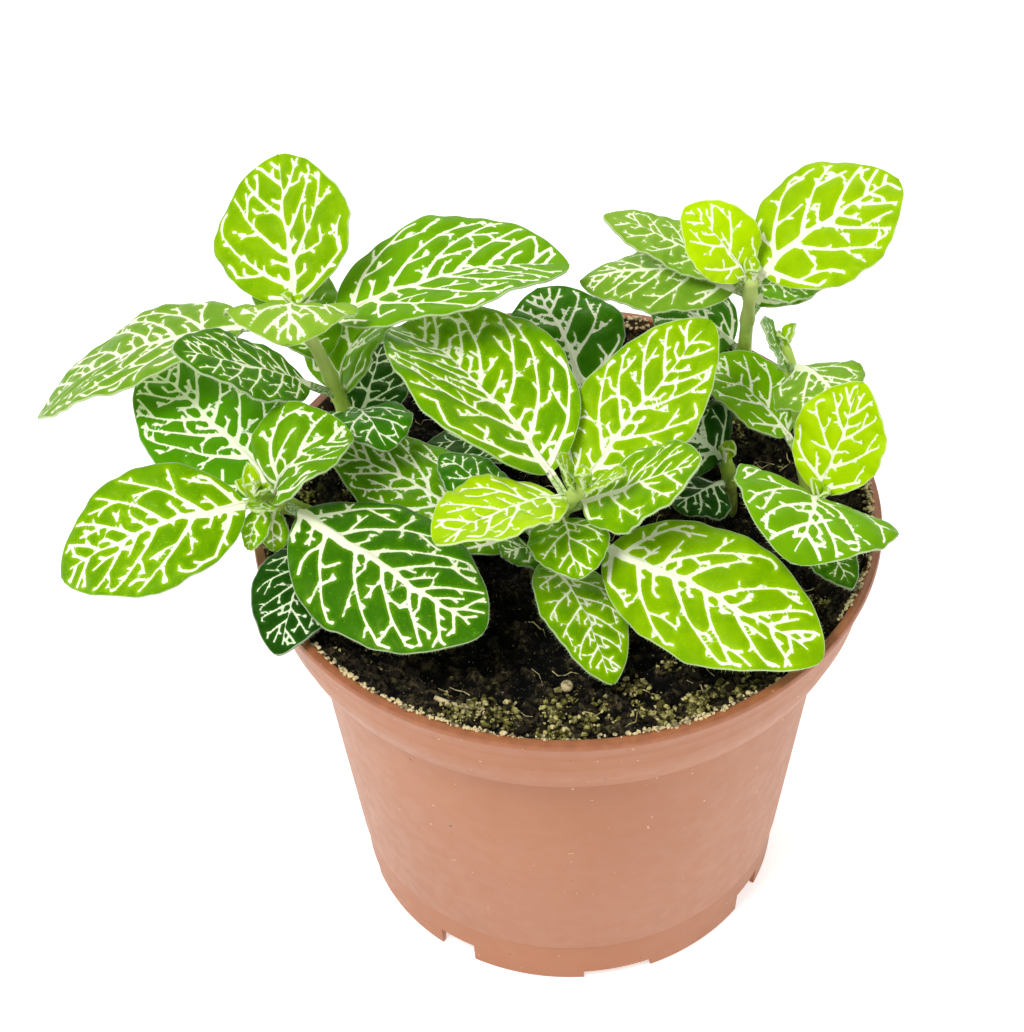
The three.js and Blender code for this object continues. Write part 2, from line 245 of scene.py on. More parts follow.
def subtract(bm, cutter_bm):
    shell = into_scene("pot_uncut", mesh_from("pot_uncut", bm))
    cutter = into_scene("pot_cuts", mesh_from("pot_cuts", cutter_bm))
    boolean = shell.modifiers.new("drainage", "BOOLEAN")
    boolean.operation = "DIFFERENCE"
    boolean.solver = "EXACT"
    boolean.object = cutter
    result = bpy.data.meshes.new_from_object(shell.evaluated_get(bpy.context.evaluated_depsgraph_get()))
    for item in (shell, cutter):
        bpy.data.objects.remove(item)
    return result


pot_mesh = subtract(pot_bm, cuts)
print("pot faces after the cuts:", len(pot_mesh.polygons))

# %% [markdown]
# Moulded polypropylene has a satin skin with a faint orange-peel grain. It scatters a little light
# inside, which softens its shading. Handling leaves pale rubs, dust specks and a darker worn lip, and
# the inner wall above the soil is darkened in patches as painted shade.

# %% Pot material
plastic, tree, shader = new_material(
    "moulded_terracotta_polypropylene", Roughness=0.42, Subsurface_Weight=0.05, Subsurface_Scale=0.0008
)
height = add(tree, "ShaderNodeSeparateXYZ", {0: own_place(tree)}).outputs["Z"]
clay = blend(tree, ramp(tree, grains(tree, 30, 3), 0.3, 0.7), linear("#A9683F"), linear("#AD6D45"))
clay = blend(tree, ramp(tree, grains(tree, 5, 4), 0.35, 0.75, 0, 0.2), clay, linear("#A3633D"))
dusty = ramp(tree, grains(tree, 1.5, 2, 0.6), 0.72, 0.75, 0, 0.65)
clay = blend(tree, dusty, clay, linear("#D9B89C"))
flecks = ramp(tree, grains(tree, 2.4, 2, 0.6), 0.25, 0.235, 0, 0.8)
clay = blend(tree, flecks, clay, linear("#4A3626"))
near_rim = ramp(tree, height, 0.0906, 0.0916)
worn = ramp(tree, grains(tree, 2.2, 4, 0.6), 0.35, 0.65, 0.15, 0.5)
grime = times(tree, near_rim, worn)
clay = blend(tree, grime, clay, linear("#84472B"))
# Painted shade darkens the inner wall in patches: a point is inside where it is nearer to the axis than the
# wall's middle.
axis = (POT_OFFSET * MM, 0, 0)
off_axis = add(tree, "ShaderNodeVectorMath", {0: own_place(tree), 1: axis}, operation="SUBTRACT")
flat = add(tree, "ShaderNodeVectorMath", {0: off_axis.outputs[0], 1: (1, 1, 0)}, operation="MULTIPLY")
radius = add(tree, "ShaderNodeVectorMath", {0: flat.outputs[0]}, operation="LENGTH").outputs["Value"]
inner_shade_patches = ramp(tree, grains(tree, 3, 4, 0.6), 0.3, 0.55, 0.55, 0.97)
wall_middle = ramp(tree, height, 0.080, 0.092, 0.0567, 0.0584, smooth=False)
within = add(tree, "ShaderNodeMath", {0: wall_middle, 1: radius}, operation="SUBTRACT").outputs[0]
inside = times(tree, ramp(tree, within, 0.0001, 0.0004), inner_shade_patches)
above = ramp(tree, height, 0.080, 0.081)
painted_inner_shade = times(tree, inside, above)
# The inner wall above the soil is blended towards dark brown: painted shade.
clay = blend(tree, painted_inner_shade, clay, linear("#32261A"))
tree.links.new(clay, shader.inputs["Base Color"])
rough = ramp(tree, grains(tree, 3, 3), 0.3, 0.7, 0.42, 0.5)
tree.links.new(rough, shader.inputs["Roughness"])
bump(tree, shader, grains(tree, 0.7, 2), 0.02, 0.5)
finish_mesh("pot_finish", pot_mesh, plastic, ["pot"], sharp=35)
print("pot material nodes:", len(tree.nodes))

# %% [markdown]
# ## Soil
# Potting soil here is black peat. Its surface is a spun disc pushed up and down by fractal noise, which
# gives clods of every size, and loose crumbs, moss and fibres are then laid on top as small pieces of
# their own. A texture alone would stay flat where the light grazes it.

# %% Soil surface
SOIL_LEVEL, SOIL_CREST = 83.6, 90.9  # middle of the surface, and the highest that it banks at the wall
WALL_REACH = 56.9  # radius of the soil where it meets the wall
FLAT_TOP = 84.0  # height of the disc before its points are moved
BANK_START, BANK_WIDTH = 40, 16  # radius where the soil begins to rise to the wall, and over what width


def soil_swell(x, y):
    swell = 0.7 * math.sin(0.11 * x + 0.5) * math.cos(0.13 * y - 0.4)
    return swell + 0.5 * math.sin(0.42 * x + 0.35 * y) * math.cos(0.38 * y - 0.21 * x)


def clod(x, y):
    return noise.fractal(Vector((x * 0.26, y * 0.26, 3.0)), 0.5, 2.2, 6)


def soil_top(x, y):
    """Height of the soil in millimetres over a point measured from the pot's axis."""
    ragged = abs(noise.fractal(Vector((x * 0.5, y * 0.5, 8.0)), 0.6, 2.1, 4))
    bank = min(1.0, max(0.0, (math.hypot(x, y) - BANK_START) / BANK_WIDTH)) ** 2
    patchy = 0.5 + 0.5 * noise.noise(Vector((x * 0.07, y * 0.07, 1.0)))
    height = SOIL_LEVEL + soil_swell(x, y) + 1.7 * clod(x, y) + 1.6 * ragged + bank * (4.4 + 1.8 * patchy)
    return min(height, SOIL_CREST)


rings = [(r, FLAT_TOP) for r in np.linspace(WALL_REACH, 0, 90)]
under_side = [(0, 7.7), (41.5, 7.7), (43.0, 12.4), (49.8, 75), (54.0, 77.4), (55.5, 80.6)]
ground = spun(under_side + rings, 250)
lit = ground.verts.layers.float.new("lit")
for vert in ground.verts:
    if vert.co.z > (FLAT_TOP - 0.1) * MM:
        x, y = vert.co.x / MM - POT_OFFSET, vert.co.y / MM
        vert.co.z = soil_top(x, y) * MM
        # Painted light: the stored value is higher on high clods and up the bank towards the wall.
        vert[lit] = 0.5 + 0.6 * clod(x, y) + 0.35 * max(0, math.hypot(x, y) - BANK_START) / BANK_WIDTH
print("soil faces:", len(ground.faces))

# %% [markdown]
# Damp peat is painted nearly black in its hollows, as painted shade, and dull brown on the clods, as
# painted light. The stored value rises with the height of a point and up the bank, so the pale film of
# algae and lime settles only on raised grains.

# %% Soil material
peat, tree, shader = new_material("damp_peat", Roughness=0.9, Specular_IOR_Level=0.12)
lit_part = stored(tree, "lit")
crumbly = ramp(tree, grains(tree, 1.3, 5, 0.7), 0.42, 0.66)
# Painted light and shade: raised clods are painted brown, the hollows near black.
raised = times(tree, ramp(tree, lit_part, 0.35, 0.95), crumbly)
dark = blend(tree, raised, linear("#070706"), linear("#5A4E38"))
algae = ramp(tree, grains(tree, 5, 4, 0.6), 0.55, 0.68, 0, 0.6)
film = times(tree, algae, raised)
dark = blend(tree, film, dark, linear("#7A7440"))
fleck = ramp(tree, grains(tree, 0.55, 2, 0.6), 0.66, 0.72, 0, 0.8)
tree.links.new(blend(tree, fleck, dark, linear("#9A8E66")), shader.inputs["Base Color"])
bump(tree, shader, grains(tree, 0.8, 5, 0.7), 0.5, 0.9)
finish_piece("soil_surface", ground, peat, ["soil"])

# %% [markdown]
# Loose crumbs are dark peat, and a tan crust of dried lime and algae that collects where the soil meets
# the pot and on its rim. Every crumb is a small icosphere with its corners shaken, and one attribute
# tells the material which of the two it is.

# %% Crumbs, moss and crust
rng = np.random.default_rng(7)


def scattered(reach):
    """A random spot within a disc about the pot's axis, and how far out it lies."""
    radius, angle = reach * math.sqrt(rng.random()), rng.uniform(0, 2 * math.pi)
    return (*polar(radius, angle), radius)


def crumb(bm, layer, x, y, z, size, kind):
    """One shaken ball. Its kind runs from 0 for peat over moss to 1 for crust."""
    turn = Matrix.Rotation(rng.uniform(0, 6.3), 4, "Z") @ Matrix.Rotation(rng.uniform(-0.6, 0.6), 4, "X")
    shape = Matrix.Diagonal((size * rng.uniform(0.7, 1.4), size * rng.uniform(0.6, 1.1), size * 0.7, 1))
    place = from_axis(x, y, z) @ turn @ shape
    lump = bmesh.ops.create_icosphere(bm, subdivisions=2 if size > 0.0008 else 1, radius=1, matrix=place)
    for vert in lump["verts"]:
        push = noise.noise(vert.co * 900) * 0.35 * size
        vert.co += Vector(rng.normal(0, 0.12 * size, 3)) + Vector((push, push, push))
        vert[layer] = kind


loose = bmesh.new()
kind_layer = loose.verts.layers.float.new("kind")
for _ in range(700):  # peat over the whole surface
    x, y, _ = scattered(55.5)
    size = rng.uniform(0.3, 1.1) ** 1.4 * MM
    crumb(loose, kind_layer, x, y, soil_top(x, y) + size / MM * 0.3, size, rng.uniform(0, 0.3))
for _ in range(1300):  # crust up the inner wall
    angle = rng.uniform(0, 2 * math.pi)
    thick = 0.5 + 1.2 * noise.noise(Vector((*polar(3, angle), 4.0)))
    if thick < rng.random() * 0.8:
        continue
    up = rng.random() ** 0.6
    radius = WALL_REACH + 1.0 * up + (rng.uniform(0, 0.9) if up > 0.86 else 0)
    size = rng.uniform(0.22, 0.55) * MM
    height = 88.6 + 3.2 * up + rng.uniform(-0.2, 0.25)
    x, y = polar(radius, angle)
    crumb(loose, kind_layer, x, y, height, size, rng.uniform(0.7, 1))
for _ in range(2600):  # crust on the rim
    angle = rng.uniform(0, 2 * math.pi)
    thick = 0.45 + 1.3 * noise.noise(Vector((*polar(2.2, angle), 6.0)))
    if thick + 0.35 * noise.noise(Vector((*polar(14, angle), 2.0))) < rng.random():
        continue
    radius, size = rng.uniform(57.5, 58.2 + 0.5 * thick), rng.uniform(0.2, 0.5) * MM
    height = RIM_TOP - 0.1 + rng.uniform(0, 0.5)
    x, y = polar(radius, angle)
    crumb(loose, kind_layer, x, y, height, size, rng.uniform(0.72, 1))
print("crumb faces:", len(loose.faces))

# %% [markdown]
# Moss and algae grow on the soil of a pot that is watered from above, most of all near the wall. One
# tuft is a heap of 22 small uneven lumps. Three such heaps are copied nearly two hundred times, each
# with its own size and turn, because nobody can tell that they are alike once they lie askew.

# %% Moss tufts
def tuft_mesh(seed):
    heap = bmesh.new()
    layer = heap.verts.layers.float.new("kind")
    draw = np.random.default_rng(seed)
    for _ in range(22):
        spot = Vector(draw.normal(0, 0.85, 3)) * MM
        spot.z = abs(spot.z) * 0.8
        size = draw.uniform(0.16, 0.5) * MM
        uneven = Matrix.Diagonal((size * draw.uniform(0.6, 1.7), size, size * draw.uniform(0.5, 1.1), 1))
        turned = Matrix.Rotation(draw.uniform(0, 3), 4, "Z") @ Matrix.Rotation(draw.uniform(0, 3), 4, "X")
        shape = Matrix.Translation(spot) @ turned @ uneven
        ball = bmesh.ops.create_icosphere(heap, subdivisions=1, radius=1, matrix=shape)
        tone = draw.uniform(0.28, 0.72)
        for vert in ball["verts"]:
            vert.co += Vector(draw.normal(0, 0.2 * size, 3))
            vert[layer] = tone
    return mesh_from("tuft", heap)


tufts = [tuft_mesh(seed) for seed in range(3)]
placed = 0
for _ in range(1400):
    x, y, radius = scattered(56)
    likely = 0.8 * (radius / 55) ** 5 + 1.0 * noise.noise(Vector((x * 0.09, y * 0.09, 9.0))) - 0.22
    likely += 1.3 * math.exp(-(((x - 3) / 20) ** 2) - ((y + 48) / 7) ** 2)
    if rng.random() > likely * 0.6:
        continue
    before = len(loose.verts)
    loose.from_mesh(tufts[placed % 3])
    loose.verts.ensure_lookup_table()
    size = rng.uniform(0.5, 1.1) + 0.4 * (y < -40)
    place = from_axis(x, y, soil_top(x, y) - 0.2)
    turn = Matrix.Rotation(rng.uniform(0, 6.3), 4, "Z") @ Matrix.Diagonal((size, size, size * 0.8, 1))
    bmesh.ops.transform(loose, matrix=place @ turn, verts=loose.verts[before:])
    placed += 1
print("moss tufts:", placed, "faces now:", len(loose.faces))

# %% [markdown]
# One material serves peat crumbs, moss and crust. The attribute on each crumb picks its tint, from brown
# over olive to tan, which keeps the three looks in one mesh and one slot.

# %% Crumb material
crumbs_of, tree, shader = new_material("peat_moss_and_dried_crust", Roughness=0.95, Specular_IOR_Level=0.2)
kind = stored(tree, "kind")
tint = blend(tree, ramp(tree, kind, 0.25, 0.36), linear("#241C12"), linear("#746E34"))
tint = blend(tree, ramp(tree, kind, 0.4, 0.6), tint, linear("#CEC47C"))
tint = blend(tree, ramp(tree, kind, 0.62, 0.72), tint, linear("#DFCD9C"))
tint = blend(tree, ramp(tree, grains(tree, 1.6, 3, 0.6), 0.36, 0.54, 0.75, 0), tint, linear("#171309"))
tree.links.new(tint, shader.inputs["Base Color"])
bump(tree, shader, grains(tree, 0.3, 3), 0.15, 0.8)
finish_piece("soil_crumbs", loose, crumbs_of)

# %% [markdown]
# A few longer things catch the eye: a pale split twig near the front, thin root fibres and one round
# grain of perlite. Twig and fibres are short tubes along a bent line, made by bridging small circles.

# %% Tubes along a path
def tube(bm, path_mm, radii_mm, sides, layer=None, value=0.0):
    previous = None
    for i, (point, radius) in enumerate(zip(path_mm, radii_mm)):
        before, after = path_mm[max(i - 1, 0)], path_mm[min(i + 1, len(path_mm) - 1)]
        along = (Vector(after) - Vector(before)).normalized()
        centre = Vector((point[0] + POT_OFFSET, point[1], point[2])) * MM
        ring = bmesh.ops.create_circle(
            bm, cap_ends=i in (0, len(path_mm) - 1), segments=sides, radius=max(radius, 0.02) * MM,
            matrix=Matrix.Translation(centre) @ facing(along),
        )["verts"]
        if layer is not None:
            for vert in ring:
                vert[layer] = value
        loop = list({edge for vert in ring for edge in vert.link_edges})
        if previous:
            bmesh.ops.bridge_loops(bm, edges=previous + loop)
        previous = loop


fibres = bmesh.new()
kind_layer = fibres.verts.layers.float.new("kind")
twig = [(-25.5, -42.6), (-22.5, -43.8), (-19.8, -44.3), (-16.5, -45.6)]
tube(fibres, [(x, y, soil_top(x, y) + 1.0) for x, y in twig], [0.4, 0.75, 0.5, 0.2], 7, kind_layer, 1.0)
for _ in range(110):
    x, y, _ = scattered(54)
    heading, path = rng.uniform(0, 6.3), []
    for _ in range(5):
        path.append((x, y, soil_top(x, y) + rng.uniform(0.2, 0.9)))
        heading += rng.normal(0, 0.5)
        step = rng.uniform(0.6, 1.6)
        x, y = x + step * math.cos(heading), y + step * math.sin(heading)
    if math.hypot(x, y) < 54.5:
        thin = rng.uniform(0.05, 0.14)
        tube(fibres, path, [thin, thin, thin, thin * 0.8, thin * 0.4], 4, kind_layer, rng.uniform(0.4, 1.0))
bead = from_axis(-1.5, -40.0, soil_top(-1.5, -40.0) + 0.8)
grain = bmesh.ops.create_icosphere(fibres, subdivisions=3, radius=1.15 * MM, matrix=bead)
for vert in grain["verts"]:
    vert[kind_layer] = 0.95
bmesh.ops.recalc_face_normals(fibres, faces=fibres.faces)
finish_piece("soil_fibres", fibres, crumbs_of)
print("twig, fibres and a perlite grain laid on the soil")

# %% [markdown]
# ## The plant's numbers
# A leaf is given by the height of its node on the stem, where its tip lies seen from there (a heading,
# a rise above level and a reach), its width, and how its blade bends: arch and lean bend the midrib,
# roll turns the blade about it, fold lifts both halves, and stalk is the bare part of the length. The
# tip is easy to place, so this form is quicker to adjust than angles at a joint.

# %% Leaf and shoot table
def leaf(
    node, heading, rise, reach, width, colour="grown",
    arch=2, lean=0, roll=0, fold=6, stalk=0.1, youth_and_light=None,
):
    """One leaf's row: node, reach, width and arch in millimetres, the angles in degrees."""
    return dict(
        node=node, heading=math.radians(heading), rise=math.radians(rise), reach=reach, width=width,
        colour=colour, arch=arch, lean=lean, roll=math.radians(roll), fold=math.radians(fold),
        stalk=stalk, youth_and_light=youth_and_light,
    )


# A last number, where given, sets how yellow and bright a leaf is: partly its youth, partly painted light on
# single leaves.
shoots = {
    "rear_left": ((-40, 17), (-49, 13, 131), [
        leaf(130, 97, 39, 31, 31, "young", arch=0, roll=-35, fold=13, stalk=0.07, youth_and_light=0.3),
        leaf(130, 267, 23, 18, 24, "pale", arch=5, lean=0.2, fold=2),
        leaf(127, 170, -27, 62, 28, "pale", arch=6.3, lean=0.1, roll=6, fold=8, stalk=0.17),
        leaf(125, 11, 8, 50, 31, arch=5, roll=-3, fold=18),
        leaf(109, 212, 39, 41.5, 17, arch=1, roll=-14, fold=8, stalk=0.18, youth_and_light=0.1),
        leaf(104.5, 59, 32, 21, 23, arch=4.5, lean=-0.3, roll=-25, fold=21, youth_and_light=0.9),
        leaf(114, 112, 12, 34, 16, stalk=0.08),
        leaf(104, 297, 14, 20, 17, "dark", arch=3, roll=-10, fold=10, stalk=0.12),
        leaf(96, 74, 15, 23, 16, "old", arch=1, fold=4),
    ]),
    "front_left": ((-44, 0), (-57, -11, 107), [
        leaf(105.5, 194, -13, 40, 25, "young", arch=6, lean=0.3, roll=-22, fold=8, stalk=0.08, youth_and_light=0),
        leaf(104, 17, 36, 19.5, 23, arch=5, lean=-0.3, roll=5, fold=29, stalk=0.08, youth_and_light=0.6),
        leaf(105, 258, 30, 9, 6, "young", arch=0, fold=12, stalk=0.2),
        leaf(104, 231, -36, 10, 6, "young", arch=1, fold=10),
        leaf(103, 252, -58, 9, 6, "young", arch=1, fold=10),
        leaf(101, 131, 9, 44, 27, "dark", arch=3, roll=-8, fold=5, stalk=0.06, youth_and_light=1),
        leaf(102.5, 317, -1, 50, 29.5, arch=1, roll=10, fold=-8, stalk=0.07, youth_and_light=0),
        leaf(92, 259, 3, 37, 17, "old", stalk=0.1),
    ]),
    "centre": ((-6, -11), (2, -21, 117), [
        leaf(116, 180, 62, 9, 8, "young", arch=0, fold=20),
        leaf(115, 326, 42, 14, 7, "young", arch=0, fold=20, stalk=0.14),
        leaf(112.5, 215, 11, 30, 21, "young", roll=10, fold=16, stalk=0.06, youth_and_light=0.8),
        leaf(107.5, 340, 36, 32, 19.5, "young", arch=0, roll=8, fold=3, stalk=0.14, youth_and_light=0.1),
        leaf(111, 128, 11, 50, 35, "young", arch=5, roll=5, fold=25, youth_and_light=0.05),
        leaf(107, 43, 28, 45, 23, "young", arch=1, roll=10, fold=12, stalk=0.06, youth_and_light=0.3),
        leaf(106, 279, 2, 18, 15, "young", fold=8, youth_and_light=0),
        leaf(99, 324, 0, 58, 27, "young", arch=5, roll=15, stalk=0.22, youth_and_light=0.3),
        leaf(93, 289, -3, 35, 16, "young", arch=3, roll=-8, fold=10, stalk=0.08, youth_and_light=0.1),
        leaf(92, 210, 20, 9, 11, arch=1, fold=8),
        leaf(88.5, 154, 18, 46, 24, fold=8, youth_and_light=0.5),
        leaf(95, 136, 13, 27, 12, "dark", arch=1, fold=4, stalk=0.3),
    ]),
    "rear_right": ((36, 31), (35.5, 20, 130), [
        leaf(129, 21, 26, 33, 27, "young", arch=3, roll=11, fold=5, stalk=0.06, youth_and_light=0.55),
        leaf(129, 152, 43, 19, 15, "young", arch=3.5, roll=-32, fold=17, stalk=0.1, youth_and_light=1),
        leaf(125, 166, -4, 32.5, 18, "pale", arch=4, lean=0.1, roll=-2, fold=-8, stalk=0.06, youth_and_light=0.2),
        leaf(126, 158, 19, 31, 13, "pale", youth_and_light=0.5),
        leaf(126, 356, 0, 12, 10, arch=1, fold=12, stalk=0.08),
        leaf(105, 152, 20, 21, 21, "dark", fold=5),
        leaf(117, 45, 11, 27, 19, arch=3, stalk=0.08),
    ]),
    "back_right": ((47, 4), (43, 21, 112), [
        leaf(109.5, 296, 12, 19, 19, "pale", arch=3, roll=6, fold=-6, stalk=0.16, youth_and_light=0.2),
        leaf(109.5, 192, 62, 14, 12, arch=0, roll=-10, fold=12),
        leaf(94.5, 140, 26, 28, 18, arch=4, roll=0, fold=23, stalk=0.2, youth_and_light=1),
        leaf(96, 11, 23, 12, 14, arch=2, stalk=0.12),
    ]),
    "right": ((42, -4), (45.5, -14, 105), [
        leaf(104, 52, 53, 24, 18.5, "young", arch=0, fold=11, stalk=0.06, youth_and_light=0.92),
        leaf(102.5, 255, 23, 30, 31, arch=6, roll=-15, fold=8, stalk=0.06, youth_and_light=0.75),
        leaf(92, 293, 5, 22, 10),
    ]),
    "low_right": ((32, 7), (31, 6, 97), [
        leaf(95, 151, 38, 14, 21, "old", arch=1, roll=-10, fold=4, stalk=0.14),
        leaf(91, 219, 5, 14, 15, "old", arch=1, fold=4, stalk=0.14),
    ]),
    "low_back": ((8, 24), (6, 25, 97), [
        leaf(95, 111, 17, 30, 25, "dark", roll=-8, fold=4, stalk=0.12),
        leaf(87.5, 187, 5, 35, 14, "old", arch=1, fold=4),
        leaf(91.5, 135, 3, 38, 17, "dark"),
    ]),
}
print("shoots:", len(shoots), "leaves:", sum(len(s[2]) for s in shoots.values()))

# %% [markdown]
# Every piece of a shoot is placed from the same few functions: the bent line of the stem, its radius, the
# frame of a leaf and the outline of a blade. So a leaf stays on its stem when a number is changed.

# %% Stem and leaf geometry shared by the pieces
STEM_FOOT = 84  # height in millimetres where the stems leave the soil
STEM_BOTTOM = 76.8  # height of their lower ends, which are sunk in it
HAIRS_FROM = 86  # height above which they carry hairs


def stem_point(foot, top, height):
    part = max(0.0, (height - STEM_FOOT) / (top[2] - STEM_FOOT)) ** 1.7
    return np.array([foot[0] + (top[0] - foot[0]) * part, foot[1] + (top[1] - foot[1]) * part, height])


def stem_radius(top, height):
    return 1.8 - 0.6 * max(0.0, (height - STEM_FOOT) / (top[2] - STEM_FOOT))


def unit(v):
    return v / np.linalg.norm(v, axis=-1, keepdims=True)


def leaf_frame(foot, top, spec):
    out = np.array([math.cos(spec["heading"]), math.sin(spec["heading"]), 0])
    node = stem_point(foot, top, spec["node"])
    tip = node + out * spec["reach"] * math.cos(spec["rise"])
    tip[2] += spec["reach"] * math.sin(spec["rise"])
    root = node + out * (stem_radius(top, spec["node"]) - 0.2)
    forward = unit(tip - root)
    level = unit(np.array([0, 0, 1]) - forward * forward[2])
    across = np.cross(forward, level)
    up = level * math.cos(spec["roll"]) + across * math.sin(spec["roll"])
    side = across * math.cos(spec["roll"]) - level * math.sin(spec["roll"])
    return root, float(np.linalg.norm(tip - root)), forward, up, side


def half_width(spec, blade):
    inner = np.clip(blade, 0, 1)
    oval = np.sin(np.pi * inner**0.9) ** 0.62 * spec["width"] / 2
    return np.where(blade <= 0, 0.85, np.maximum(np.maximum(0.85 * (1 - inner), oval), 0.12))


print("geometry functions ready")

# %% [markdown]
# ## Veins
# The net is what names this plant. A broad midrib sends off curved side veins, which give off branches
# on alternate sides and fork before they reach the margin. Drawing such a net with a tiling texture
# looks wrong, because real veins start from the midrib. Here they are grown step by step in the flat of
# the blade, and each point of the leaf stores its distance to the nearest vein, which the material cuts
# near zero.

# %% Grow a vein net
class VeinNet:
    """A vein is a row of short tapered strokes: both ends, both half widths, its level and number."""

    STEP = 0.8  # millimetres that a vein grows in one stroke
    FAR = 9.0  # distance given to a point that has no vein near
    ALL, MAIN = 9, 2  # levels below which veins are asked for

    def __init__(self, spec, length, seed):
        self.spec, self.length, self.random = spec, length, np.random.default_rng(seed)
        self.size = min(1.1, max(0.5, spec["width"] / 25))
        self.wobble = self.random.uniform(0, 6.3, 2)
        self.rows, self.count, self.paths = np.zeros((5000, 8)), 0, []
        self.midrib()
        self.side_veins()
        for level, every, turn, reach in ((0, 3.6, 0.75, 6.0), (1, 4.4, 0.7, 1.8)):
            for parent in [p for p in self.paths if p["level"] == level and p["number"] > 0]:
                self.branches(parent, every * self.size, turn, reach * self.size)
        self.fill_gaps()
        self.spurs()

    def mid_y(self, x):
        a, b = self.wobble
        return 0.28 * math.sin(0.33 * x + a) + 0.16 * math.sin(0.8 * x + b)

    def margin(self, x, y):
        return float(half_width(self.spec, np.array(x / self.length))) - abs(y)

    def put(self, start, end, wide, narrow, level, number):
        self.rows[self.count] = (*start, *end, wide, narrow, level, number)
        self.count += 1

    def midrib(self):
        points = np.linspace(-1.5, 0.93 * self.length, 34)
        for x0, x1 in zip(points, points[1:]):
            wide = [max(0.3, (1.05 - 0.82 * max(0, x) / self.length)) * self.size for x in (x0, x1)]
            self.put((x0, self.mid_y(x0)), (x1, self.mid_y(x1)), *wide, 0, 0)
        self.paths.append({"number": 0, "level": 0, "line": []})

    def side_veins(self):
        """Long side veins leave the midrib on both sides, with shorter ones between them."""
        count = max(3, round(self.length / (6.9 * self.size**0.5)))
        for side, shift in ((1, 0.1), (-1, 0.45)):
            for k in range(2 * count):
                start = max(0.004, 0.45 * (k + 2 * shift + self.random.uniform(-0.15, 0.15)) / count)
                angle = 1.06 - 0.34 * start + 0.28 * math.exp(-11 * start) + self.random.uniform(-0.04, 0.04)
                place = (start * self.length, self.mid_y(start * self.length))
                if k % 2 == 0:
                    self.grow(place, side * angle, (0.56 - 0.22 * start) * self.size, 0, 60, -side * 0.026, 0)
                elif start > 0.05 and self.random.random() < 0.7:
                    short = 0.22 * self.spec["width"] * self.random.uniform(0.5, 1.0)
                    self.grow(place, side * (angle + 0.1), 0.34 * self.size, 1, short, -side * 0.02, 0)

    def nearest(self, point, number):
        """Distance from a point to the nearest vein other than its own."""
        rows = self.rows[: self.count]
        rows = rows[rows[:, 7] != number]
        return self.FAR if len(rows) == 0 else float(self.distance_to(rows, np.array([point]))[0])

    def grow(self, place, heading, radius, level, reach, bend, parent):
        """Grow one vein until it nears the margin or another vein."""
        number, line, phase = len(self.paths), [], self.random.uniform(0, 6.3)
        self.paths.append({"number": number, "level": level, "line": line})
        for i in range(max(1, int(reach / self.STEP))):
            heading += bend + 0.035 * math.sin(0.6 * i + phase)
            x, y = place[0] + self.STEP * math.cos(heading), place[1] + self.STEP * math.sin(heading)
            if self.margin(x, y) < 0.7 + 0.5 * self.random.random() or x > 0.965 * self.length:
                break
            free = i * self.STEP < 1.3 * self.size + 0.9 * (parent == 0)
            if not free and self.nearest((x, y), number) < 0.85 * self.size + 0.1:
                break
            thin = max(0.27 * self.size, radius * 0.955)
            self.put(place, (x, y), radius, thin, level, number)
            line.append((x, y, heading, thin))
            place, radius = (x, y), thin

    def branches(self, parent, every, turn, reach):
        """Give a vein branches on alternate sides, and a small fork at its end."""
        sign, travelled, line = 1 if self.random.random() < 0.5 else -1, every * 0.5, parent["line"]
        for x, y, heading, radius in line:
            travelled += self.STEP
            if travelled < every:
                continue
            sign, travelled = -sign, self.random.uniform(-0.3, 0.3)
            angle = heading + sign * (turn + self.random.uniform(-0.12, 0.12))
            wide = max(0.28 * self.size, radius * 0.75)
            self.grow((x, y), angle, wide, parent["level"] + 1, reach, -sign * 0.035, parent["number"])
        if line and parent["level"] == 0:
            x, y, heading, radius = line[-1]
            for sign in (1, -1):
                self.grow((x, y), heading + sign * 0.6, radius * 0.9, 2, 1.8 * self.size, 0, parent["number"])

    def fill_gaps(self):
        """Send a branch from the nearest vein into the widest bare patch, until none is wide."""
        x = self.random.uniform(0.01, 0.97, 500) * self.length
        y = self.random.uniform(-1, 1, 500) * half_width(self.spec, x / self.length)
        keep = half_width(self.spec, x / self.length) - np.abs(y) > 1.3
        spots = np.stack([x, y], 1)[keep]
        gap = self.distance(spots, self.ALL)
        for _ in range(60):
            if len(spots) == 0 or gap.max() < 1.85 * self.size + 0.2:
                return
            target = spots[int(np.argmax(gap))]
            rows = self.rows[: self.count]
            span = rows[:, 2:4] - rows[:, 0:2]
            t = ((target - rows[:, 0:2]) * span).sum(1) / np.maximum((span**2).sum(1), 1e-9)
            foot = rows[:, 0:2] + span * np.clip(t, 0, 1)[:, None]
            behind = np.maximum(0, foot[:, 0] - target[0] + 0.8) * 1.5
            start = foot[int(np.argmin(np.linalg.norm(target - foot, axis=1) + behind))]
            way = target - start
            bend = np.array([-way[1], way[0]]) * self.random.uniform(-0.15, 0.15)
            before = self.count
            for k in range(3):
                p, q = [start + way * f + bend * math.sin(math.pi * f) for f in (k / 3, (k + 1) / 3)]
                wide = (0.3 - 0.01 * k) * self.size
                self.put(p, q, wide, wide - 0.01, 2, -1)
            gap = np.minimum(gap, self.distance_to(self.rows[before : self.count], spots))

